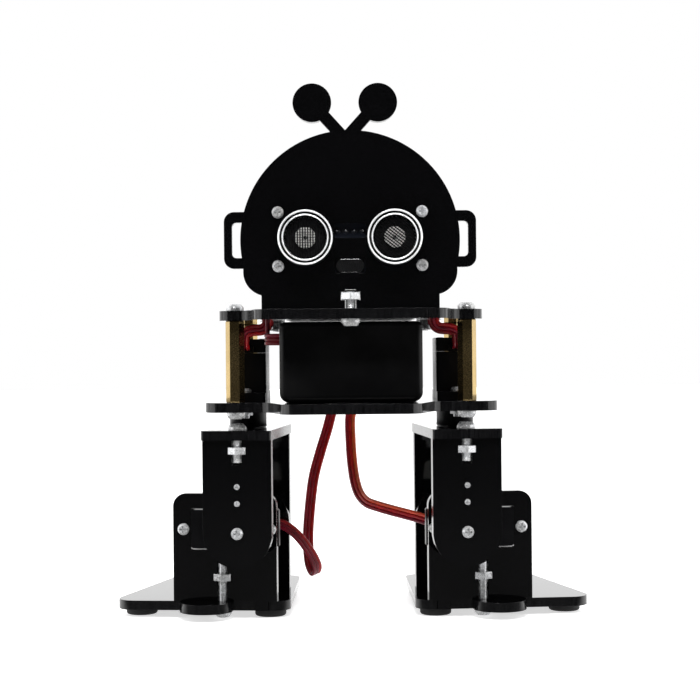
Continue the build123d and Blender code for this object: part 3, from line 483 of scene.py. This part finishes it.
def add_tube(bm, path, sides, offset, radius, material, around=12):
    rings = []
    for point, (across, up) in zip(path, sides):
        centre = point + across * offset
        ring = []
        for step in range(around):
            angle = 2 * math.pi * step / around
            spoke = across * math.cos(angle) + up * math.sin(angle)
            ring.append(bm.verts.new(centre + spoke * radius))
        rings.append(ring)
    join_rings(bm, rings, material)
    cap_rings(bm, rings, material)


CORE_R = 0.62 * MM
CORE_PITCH = 1.18 * MM
LEAD_STEPS = 10


def ribbon(name, path, frames, body, cores):
    """Flat cable of touching round cores."""
    bm = bmesh.new()
    for index in range(len(cores)):
        offset = (index - (len(cores) - 1) / 2) * CORE_PITCH
        add_tube(bm, path, frames, offset, CORE_R, index)
    return from_bmesh(name, bm, body, cores)


# ---------------------------------------------------------------- distance sensor

MESH_GAP = 1.98
MESH_PITCH = 0.75
MESH_DEPTH = 1.5
MESH_WEAVE = 0.09
WIRE_RADII = (0.19, 0.09)
WIRE_STEPS = 26
BARREL_FRONT = 0.4
BARREL_SKIN = 0.3


def woven_mesh(front, inner, turn):
    """Two crossing layers of wires, each waving over and under the other."""
    bm = bmesh.new()
    count = int(inner / MESH_PITCH)
    across = turn @ BACK
    for line in range(-count, count + 1):
        place = line * MESH_PITCH
        half = math.sqrt(max(inner ** 2 - place ** 2, 0.2))
        for way, wire in enumerate(WIRE_RADII):
            points = []
            for step in range(WIRE_STEPS + 1):
                run = -half + 2 * half * step / WIRE_STEPS
                weave = MESH_WEAVE * math.cos(math.pi * (run / MESH_PITCH + line + way))
                upright = Vector((place, MESH_DEPTH - weave, run))
                level = Vector((run, MESH_DEPTH + weave, place))
                points.append(front + turn @ ((level if way else upright) * MM))
            add_tube(bm, points, carried_frames(points, across), 0.0, wire * MM, 0, 6)
    return bm


def sonar_eye(index, centre_x, twist):
    """One transducer: rolled can, inner lip, woven mesh and the cone behind it, with painted reflection
    on the cone and painted shade on the barrel and inside the can.
    """
    front = Vector((centre_x, can_low.y, EYE_Z))
    depth = (can_high.y - can_low.y) / MM
    outer = EYE_R / MM
    bm = bmesh.new()
    rim = [(outer, -depth), (outer, -0.35), (outer - 0.1, -0.1), (outer - 0.28, 0.0),
           (outer - 0.45, -0.1), (outer - 0.55, -0.35), (outer - 0.58, -1.4), (outer - 1.15, -1.4),
           (outer - 1.2, -0.6), (outer - 1.3, -0.4), (outer - 1.45, -0.35), (outer - 1.6, -0.42),
           (outer - 1.65, -0.7), (outer - 1.7, -5.0), (0.4, -5.0), (0.4, -depth)]
    add_lathe(bm, rim, front, FRONT, 96)
    for face in bm.faces:
        inwards = face.calc_center_median() - front
        from_axis = Vector((inwards.x, 0, inwards.z)).length
        # The outer skin more than 0.4 mm behind the front gets the dark copy of the aluminium: painted
        # shade on the barrel.
        if inwards.y > BARREL_FRONT * MM and from_axis > (outer - BARREL_SKIN) * MM:
            face.material_index = 1
    can = from_bmesh(f"sonar_can_{index}", bm, "chassis", [aluminium, barrel_painted_shade])
    bm = woven_mesh(front, outer - MESH_GAP, Matrix.Rotation(twist, 4, "Y"))
    woven = from_bmesh(f"sonar_mesh_{index}", bm, "chassis", [dark_mesh])
    bm = bmesh.new()
    add_lathe(bm, [(3.1, -2.6), (3.1, -2.45), (2.8, -2.3), (0.6, -2.45), (0.5, -2.8), (2.6, -3.0)],
              front, FRONT, 48)
    from_bmesh(f"sonar_cone_{index}", bm, "chassis", [cone_painted_reflection])
    # Black linings of painted shade: a disc over the can's floor behind the cone, a ring in the lip's
    # groove and a sleeve down the inner wall.
    bm = bmesh.new()
    add_lathe(bm, [(5.95, -4.9), (5.95, -4.0), (5.7, -3.8), (0.3, -3.8), (0.3, -4.9)], front, FRONT, 48)
    add_lathe(bm, [(outer - 0.6, -1.38), (outer - 0.6, -0.6), (outer - 0.64, -0.6),
                   (outer - 0.64, -1.2), (outer - 1.09, -1.2), (outer - 1.09, -0.8),
                   (outer - 1.13, -0.8), (outer - 1.13, -1.38)],
              front, FRONT, 96)
    add_lathe(bm, [(outer - 1.72, -4.9), (outer - 1.72, -0.9), (outer - 1.8, -0.9), (outer - 1.8, -4.9)],
              front, FRONT, 64)
    from_bmesh(f"sonar_shade_lining_{index}", bm, "chassis", [lining_painted_shade])
    return can, woven


for index, (x, twist) in enumerate(((-EYE_X, 0.0), (EYE_X, math.radians(-52)))):
    can, woven = sonar_eye(index, x, twist)
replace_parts(can, "sonar_cans")
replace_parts(woven, "sonar_meshes")

HEADER_DROP = 7.5
CHIP_LEG_PITCH = 0.65
CHIP_LEG_REACH = 2.5
PARTS_DROP = 4.4
PARTS_STAGGER = 1.6
PARTS_PITCH = 3.3
bm = bmesh.new()
header_z = sonar_high.z - HEADER_DROP * MM
for pin in range(4):
    x = (pin - 1.5) * PIN_PITCH * MM
    add_lathe(bm, [(0.95, 0), (0.8, 0.25), (0.4, 0.8), (0.3, 1.1), (0.02, 1.15)],
              Vector((x, sonar_low.y, header_z)), FRONT, 16, closed=False)
from_bmesh("sonar_solder", bm, "chassis", [solder])
bm = bmesh.new()
for x, z in ((-14, 1.5), (0, 6.7), (13, 1.5)):
    centre = Vector((x * MM, sonar_high.y + 0.85 * MM, EYE_Z + z * MM))
    add_block(bm, centre, mm(5.0, 1.5, 4.0))
    for row in (-1, 1):
        for leg in range(7):
            leg_x = centre.x + (leg - 3) * CHIP_LEG_PITCH * MM
            leg_z = centre.z + row * CHIP_LEG_REACH * MM
            spot = Vector((leg_x, sonar_high.y + 0.35 * MM, leg_z))
            add_block(bm, spot, mm(0.3, 0.5, 1.1), 1)
for part in range(12):
    drop = PARTS_DROP + part % 2 * PARTS_STAGGER
    spot = Vector(((part - 5.5) * PARTS_PITCH * MM, sonar_high.y + 0.28 * MM, EYE_Z - drop * MM))
    add_block(bm, spot, mm(1.6, 0.5, 0.8), 2)
from_bmesh("sonar_chips", bm, "chassis", [chip_body, solder, ceramic], 0.06, False)


# ---------------------------------------------------------------- screw threads in the open nut slots

SHANK_R = 1.46
THREAD_PITCH = 0.5
THREAD_DEPTH = 0.11
THREAD_SINK = 0.3
LEVELS_PER_TURN = 6


def add_thread(bm, low, high, around=20):
    """Helical thread on a screw's visible shank, from a low to a high point."""
    axis = high - low
    count = int(axis.length / MM / THREAD_PITCH * LEVELS_PER_TURN)
    rotation = UP.rotation_difference(axis.normalized()).to_matrix().to_4x4()
    place = Matrix.Translation(low) @ rotation
    rings = []
    for level in range(count + 1):
        height = level * THREAD_PITCH / LEVELS_PER_TURN
        ring = []
        for step in range(around):
            angle = 2 * math.pi * step / around
            phase = (height / THREAD_PITCH - step / around) % 1
            crest = SHANK_R + THREAD_DEPTH * (1 - abs(2 * phase - 1) - THREAD_SINK)
            point = Vector((math.cos(angle) * crest, math.sin(angle) * crest, height)) * MM
            ring.append(bm.verts.new(place @ point))
        rings.append(ring)
    join_rings(bm, rings)
    cap_rings(bm, rings)


CLEAR = 0.1
SCREW_BELOW_NUT = 4.7
SCREW_ABOVE_NUT = 3.2
HEAD_SCREW_H = 2.5
NUT_H = 2.2
SHIN_BACKS = (-20.5, 18.5)
FOOT_SLOTS = ((7.2, -8.0), (0, 15.1))
for side in SIDES:
    nut_low, nut_high = corners(f"{side}_leg_nuts")
    under_plate = corners(f"{side}_leg_top_plate")[0].z / MM
    nut_bottom, nut_top = nut_low.z / MM, nut_high.z / MM
    bm = bmesh.new()
    for back in SHIN_BACKS:
        add_thread(bm, leg_point(side, 0, back, nut_top - SCREW_BELOW_NUT),
                   leg_point(side, 0, back, nut_bottom - CLEAR))
        add_thread(bm, leg_point(side, 0, back, nut_top + CLEAR),
                   leg_point(side, 0, back, under_plate - CLEAR))
    from_bmesh(f"{side}_leg_threads", bm, f"{side}_leg", [zinc])
    plate_top = corners(f"{side}_foot_plate")[1].z / MM
    nut_bottom = corners(f"{side}_foot_nuts")[0].z / MM
    nut_top = nut_bottom + NUT_H
    bm = bmesh.new()
    for outward, back in FOOT_SLOTS:
        add_thread(bm, leg_point(side, outward, back, plate_top + CLEAR),
                   leg_point(side, outward, back, nut_bottom - CLEAR))
        add_thread(bm, leg_point(side, outward, back, nut_top + CLEAR),
                   leg_point(side, outward, back, nut_top + SCREW_ABOVE_NUT))
    from_bmesh(f"{side}_foot_threads", bm, f"{side}_foot", [zinc])
bm = bmesh.new()
head_y = middle("head_plate").y
add_thread(bm, Vector((0, head_y, DECK_TOP + CLEAR * MM)),
           Vector((0, head_y, DECK_TOP + HEAD_SCREW_H * MM)))
from_bmesh("head_threads", bm, "chassis", [zinc])


# ---------------------------------------------------------------- cables

three_cores = [core_crimson, core_red, core_orange]
ankle_right = mm_points(
    (-6.0, 48.5, 74), (-6.4, 48.5, 66), (-8.2, 44, 58), (-11.0, 36, 49), (-13.1, 29, 41),
    (-14.3, 23, 31), (-14.8, 18.5, 22), (-14.2, 14.5, 14.5), (-12.6, 11.6, 11.4), (-11.6, 9.8, 13.6),
    (-13.6, 8.8, 18.2), (-17.5, 8.8, 23.6), (-21.8, 8.9, 27.2), (-25.2, 9.0, 28.3),
)
ankle_left = mm_points(
    (2.0, 48.5, 74), (1.4, 48.5, 66.5), (-0.4, 47, 61), (-0.3, 42, 52), (0.2, 37, 45), (1.1, 31, 39.6),
    (2.5, 26, 35.9), (4.9, 21.5, 33.6), (8.5, 18, 32.5), (13.3, 14.5, 31.4), (18.4, 11.5, 30.3),
    (22.6, 9.6, 29.3), (25.2, 9.0, 28.4),
)
# Darker copies of the three cores for the right lead on the shaded side: painted shade.
shade_painted_cores = [core_crimson, core_crimson, core_red]
right_path = smooth_path(ankle_right, LEAD_STEPS)
left_path = smooth_path(ankle_left, LEAD_STEPS)
for side, points, path, frames, cores, split in (
    ("right", ankle_right, right_path, carried_frames(right_path, Vector((1, 0.1, 0))), shade_painted_cores, 5),
    ("left", ankle_left, left_path, facing_frames(left_path), three_cores, 5),
):
    cut = split * LEAD_STEPS
    top = ribbon(f"{side}_ankle_lead_upper", path[:cut + 1], frames[:cut + 1], None, cores)
    bottom = ribbon(f"{side}_ankle_lead_lower", path[cut:], frames[cut:], None, cores)
    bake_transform(top)
    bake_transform(bottom)
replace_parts(top, "ankle_leads")

hip_cores = [core_power, core_crimson, core_red]
for sign, side in ((-1, "right"), (1, "left")):
    path = smooth_path(mm_points(
        (sign * 33.7, -7.2, 85.2), (sign * 33.7, -9.6, 85.7), (sign * 33.7, -11, 87.4),
        (sign * 33.3, -11, 89.8), (sign * 31.4, -11, 90.9), (sign * 27.6, -11, 91.4),
        (sign * 26.0, -11, 93.6), (sign * 25.6, -11, 98.5), (sign * 24.8, -9, 102),
        (sign * 20.2, -2, 108), (sign * 15.2, 8, 115.4), (sign * 14.0, 14.5, 118.6),
        (sign * 14.0, 17.0, 116.8), (sign * 14.0, 17.0, 113.4),
    ))
    frames = carried_frames(path, RIGHT)
    lead = ribbon(f"{side}_hip_lead", path, frames, "chassis", hip_cores)
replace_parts(lead, "hip_leads")

path = smooth_path(mm_points(
    (-21.4, -26, 88), (-23.6, -26, 88), (-25.5, -25, 88), (-26.1, -21.5, 88),
    (-25.9, -18.4, 88.4), (-25.9, -16.7, 90.2), (-25.9, -16.5, 93.5), (-25.8, -16.5, 97),
    (-25.0, -15.6, 99.4), (-22.2, -12.6, 99.8), (-20.5, -8, 99.7), (-20.4, 0, 99.8),
    (-20.4, 5, 101.6), (-20.4, 9.5, 106.2), (-20.4, 14.8, 107.2),
))
power_cores = [core_power, core_power, core_crimson]
frames = carried_frames(path, UP)
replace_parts(ribbon("battery_cable", path, frames, "chassis", power_cores), "battery_lead")

plug_z = header_z / MM
path = smooth_path(mm_points(
    (0, -32.6, plug_z), (0, -28, plug_z), (0, -21, plug_z - 1.2), (0.3, -12, plug_z - 5),
    (0.4, -2, plug_z - 9.6), (0.2, 6, 107.6), (0, 11.5, 106.6), (0, 15.0, 105.1),
))
sensor_cores = [core_crimson, core_red, core_orange, core_black]
frames = carried_frames(path, RIGHT)
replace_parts(ribbon("sonar_cable", path, frames, "chassis", sensor_cores), "sonar_lead")


# ---------------------------------------------------------------- control electronics

def plug(bm, centre, size, cores):
    """Crimp housing with a window over each contact."""
    add_block(bm, centre, size)
    for core in range(cores):
        x = centre.x + (core - (cores - 1) / 2) * PIN_PITCH * MM
        window = Vector((x, centre.y - size.y / 2, centre.z + 1.5 * MM))
        add_block(bm, window, mm(1.2, 0.16, 2.6), 1)


bm = bmesh.new()
for sign in (-1, 1):
    plug(bm, Vector((sign * 14.0 * MM, 17.0 * MM, 110.4 * MM)), mm(7.8, 2.6, 6.8), 3)
from_bmesh("servo_plugs", bm, "chassis", [black_nylon, gold], 0.15, False)
bm = bmesh.new()
add_block(bm, Vector((0, -33.6 * MM, header_z)), mm(10.3, 6.4, 2.6))
from_bmesh("sonar_plug", bm, "chassis", [black_nylon], 0.15, False)

bm = bmesh.new()
for row in range(2):
    for part in range(7):
        spot = Vector(((part - 3) * 3.4 * MM, (21.2 + row * 26.6) * MM, BOARD_TOP + 0.3 * MM))
        add_block(bm, spot, mm(1.6, 0.8, 0.6), 1)
        for end in (-1, 1):
            add_block(bm, spot + Vector((end * 0.8 * MM, 0, 0)), mm(0.35, 0.84, 0.64), 2)
REGULATOR_X = -24.2
REGULATOR_Y = 32
regulator = Vector((REGULATOR_X * MM, REGULATOR_Y * MM, BOARD_TOP + 0.9 * MM))
add_block(bm, regulator, mm(3.6, 6.6, 1.8))
for leg in (-1, 0, 1):
    spot = Vector(((REGULATOR_X + 2.7) * MM, (REGULATOR_Y + leg * 2.3) * MM, BOARD_TOP + 0.3 * MM))
    add_block(bm, spot, mm(2.0, 0.8, 0.5), 2)
from_bmesh("board_parts", bm, "chassis", [chip_body, ceramic, solder], 0.05, False)
bm = bmesh.new()
for x, y in ((-23.0, 24.6), (-23.0, 39.6)):
    foot = Vector((x * MM, y * MM, BOARD_TOP))
    add_lathe(bm, [(2.5, 0.2), (2.5, 1.0), (2.3, 1.25), (2.5, 1.5), (2.5, 5.2), (2.3, 5.5), (0.05, 5.5)],
              foot, UP, 32, closed=False)
from_bmesh("board_capacitors", bm, "chassis", [can_sleeve])
bm = bmesh.new()
add_block(bm, Vector((-20.4 * MM, 16.4 * MM, BOARD_TOP + 3.0 * MM)), mm(4.2, 3.4, 6.0))
from_bmesh("power_plug", bm, "chassis", [black_nylon], 0.2, False)

bm = bmesh.new()
for row in (-1, 1):
    for pin in range(15):
        spot = Vector(((pin - 7) * PIN_PITCH * MM, (34 + row * 3 * PIN_PITCH) * MM, MODULE_TOP))
        add_lathe(bm, [(0.85, 0), (0.6, 0.2), (0.3, 0.7), (0.02, 0.8)], spot, UP, 12, closed=False)
from_bmesh("module_pins", bm, "chassis", [solder])
bm = bmesh.new()
for part in range(6):
    spot = Vector(((2 + part * 2.0) * MM, 38.2 * MM, MODULE_TOP + 0.25 * MM))
    add_block(bm, spot, mm(0.8, 1.5, 0.5))
for part in range(3):
    spot = Vector(((3 + part * 2.4) * MM, 30.4 * MM, MODULE_TOP + 0.3 * MM))
    add_block(bm, spot, mm(1.5, 0.8, 0.6), 1)
from_bmesh("module_parts", bm, "chassis", [ceramic, lamp], 0.05, False)


# ---------------------------------------------------------------- servo and battery trim

COVER_DEPTH = 19.5
COVER_SCREWS_ALONG = (-4.3, 15.3)
COVER_SCREWS_ACROSS = (-4.7, 4.7)
ANKLE_COVER_BACK = -6.5
ANKLE_SHAFT_Z = 28.3


def servo_trim(name, body, origin, shaft, along):
    """Four case screws sunk in a servo's bottom cover."""
    side = shaft.cross(along)
    bm = bmesh.new()
    bottom = origin - shaft * COVER_DEPTH * MM
    for far in COVER_SCREWS_ALONG:
        for across in COVER_SCREWS_ACROSS:
            spot = bottom + along * far * MM + side * across * MM
            add_lathe(bm, [(1.0, -0.05), (1.0, 0.06), (0.8, 0.12), (0.35, 0.02), (0.05, -0.02)],
                      spot, -shaft, 20, closed=False)
    from_bmesh(name, bm, body, [zinc])


for side in SIDES:
    across, back, ground = leg_axes(side)
    out = across if across.x * ground.x > 0 else -across
    servo_trim(f"{side}_hip_servo_trim", "chassis", Vector((ground.x, 0, BASE_TOP)), DOWN, BACK)
    ankle = leg_point(side, 0, ANKLE_COVER_BACK, ANKLE_SHAFT_Z)
    servo_trim(f"{side}_ankle_servo_trim", f"{side}_foot", ankle, -back, out)

RIB_START = 0.34
RIB_STEP = 0.04
bm = bmesh.new()
lid_low, lid_high = corners("battery_lid")
for rib in range(9):
    y = lid_low.y + (lid_high.y - lid_low.y) * (RIB_START + RIB_STEP * rib)
    add_block(bm, Vector((0, y, lid_high.z)), mm(26, 0.9, 0.5))
from_bmesh("battery_lid_grip", bm, "chassis", [case_plastic], 0.18, False)


# ---------------------------------------------------------------- studio

FLOOR_WHITE = (0.9, 0.9, 0.9)
FLOOR_GLOW = 0.62
LIT_POINT = Vector((0, 0, 0.08))
SOFTBOX_X = 0.62
SOFTBOX_SIZE = (0.5, 0.7)
SOFTBOX_WATTS = 1.9
WORLD_DIM = 0.02
WORLD_BRIGHT = 1.5
LENS = 82.2
CAMERA_PLACE = (-0.0003, -0.514, 0.0846)
CAMERA_ROLL = math.radians(0.5)


def studio_world():
    world = bpy.data.worlds.new("studio")
    bpy.context.scene.world = world
    world.use_nodes = True
    tree = world.node_tree
    tree.nodes.clear()
    where = tree.nodes.new("ShaderNodeTexCoord")
    split = tree.nodes.new("ShaderNodeSeparateXYZ")
    fade = tree.nodes.new("ShaderNodeMapRange")
    path = tree.nodes.new("ShaderNodeLightPath")
    pick = tree.nodes.new("ShaderNodeMix")
    light = tree.nodes.new("ShaderNodeBackground")
    out = tree.nodes.new("ShaderNodeOutputWorld")
    tree.links.new(where.outputs["Generated"], split.inputs[0])
    tree.links.new(split.outputs["Y"], fade.inputs["Value"])
    fade.inputs["From Min"].default_value = -0.35
    fade.inputs["From Max"].default_value = 0.25
    fade.inputs["To Min"].default_value = WORLD_DIM
    fade.inputs["To Max"].default_value = WORLD_BRIGHT
    tree.links.new(path.outputs["Is Camera Ray"], pick.inputs["Factor"])
    tree.links.new(fade.outputs["Result"], pick.inputs[2])
    pick.inputs[3].default_value = 1.0
    tree.links.new(pick.outputs[0], light.inputs["Color"])
    tree.links.new(light.outputs[0], out.inputs["Surface"])


def area(name, place, size, watts):
    """Rectangular lamp aimed at the middle of the robot."""
    data = bpy.data.lights.new(name, "AREA")
    data.shape = "RECTANGLE"
    data.size = size[0]
    data.size_y = size[1]
    data.energy = watts
    lamp_object = bpy.data.objects.new(name, data)
    lamp_object.location = place
    lamp_object.rotation_euler = (LIT_POINT - Vector(place)).to_track_quat("-Z", "Y").to_euler()
    bpy.context.scene.collection.objects.link(lamp_object)


def pale_floor():
    """White floor that reflections see as dark in front of the robot, so the black sheets stay black."""
    look = Look("pale floor", FLOOR_WHITE, 0.7)
    path = look.add("ShaderNodeLightPath")
    split = look.add("ShaderNodeSeparateXYZ", {0: look.where.outputs["Object"]})
    ahead = look.ramp(split.outputs["Y"], -0.002, -0.018)
    glossy = path.outputs["Is Glossy Ray"]
    hidden = look.add("ShaderNodeMath", {0: glossy, 1: ahead}, operation="MULTIPLY")
    look.feed("Base Color", look.mix(hidden.outputs[0], FLOOR_WHITE, (0.01, 0.01, 0.01)))
    look.shader.inputs["Emission Color"].default_value = (1, 1, 1, 1)
    look.feed("Emission Strength", look.mix_value(hidden.outputs[0], FLOOR_GLOW, 0.0))
    return look.material


studio_world()
area("left_softbox", (-SOFTBOX_X, -0.2, 0.3), SOFTBOX_SIZE, SOFTBOX_WATTS)
area("right_softbox", (SOFTBOX_X, -0.2, 0.3), SOFTBOX_SIZE, SOFTBOX_WATTS)
area("front_strip", (0, -0.42, 0.5), (0.3, 0.12), 3.2)

bm = bmesh.new()
bmesh.ops.create_grid(bm, x_segments=8, y_segments=8, size=3.0)
floor_data = bpy.data.meshes.new("floor")
bm.to_mesh(floor_data)
bm.free()
floor = bpy.data.objects.new("floor", floor_data)
bpy.context.scene.collection.objects.link(floor)
floor.location.z = -0.02 * MM
floor_data.materials.append(pale_floor())

camera_data = bpy.data.cameras.new("camera")
camera = bpy.data.objects.new("camera", camera_data)
bpy.context.scene.collection.objects.link(camera)
camera_data.lens = LENS
camera_data.sensor_width = 36.0
camera_data.clip_start = 0.01
camera.location = CAMERA_PLACE
camera.rotation_euler = (math.radians(90), CAMERA_ROLL, 0)
bpy.context.scene.camera = camera
bpy.context.scene.view_settings.view_transform = "Standard"
